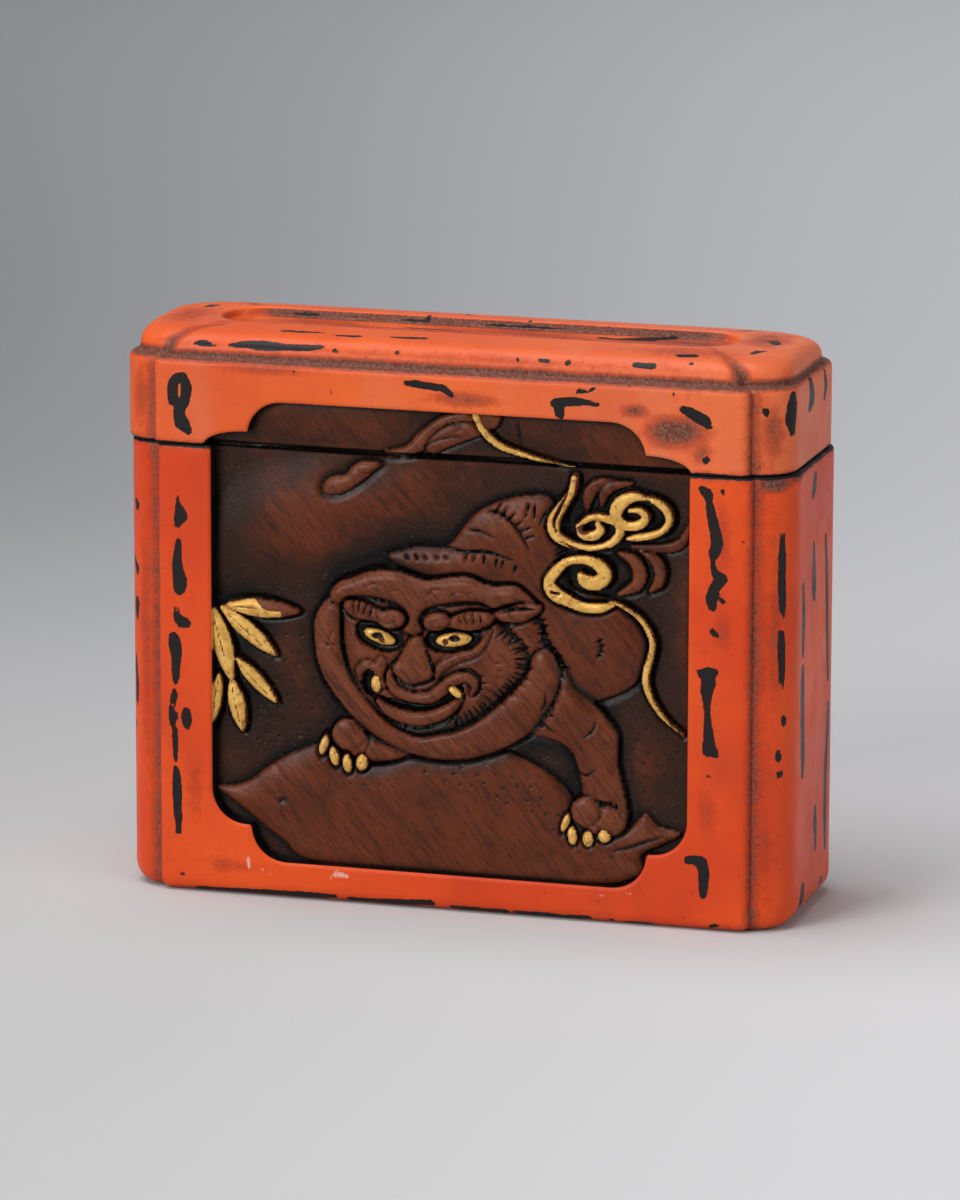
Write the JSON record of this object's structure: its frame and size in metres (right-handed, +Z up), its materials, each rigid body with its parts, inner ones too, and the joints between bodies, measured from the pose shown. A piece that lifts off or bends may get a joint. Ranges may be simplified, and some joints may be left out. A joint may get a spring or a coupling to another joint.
{
  "type": "tobacco box",
  "caption": "flat upright wooden box with lift-off lid, worn red lacquer, sunk front panel carved with a tiger, bamboo leaves and clouds",
  "frame": {"origin": "centre of the box's underside, where it stands, under the middle of its bounding box", "axes": "+X to the right along the long side, -Y towards the carved front, +Z up"},
  "size_m": [0.0904, 0.0294, 0.0751],
  "materials": {
    "case_lacquer": "worn orange-red lacquer over black on wood, satin gloss, the sunk front panel dark carved wood with gilded accents",
    "lid_lacquer": "worn orange-red lacquer over black on wood, satin gloss, the panel runs on from the case in dark carved wood"
  },
  "bodies": {
    "root": {"case": "case_lacquer", "lid": "lid_lacquer"}
  },
  "joints": []
}
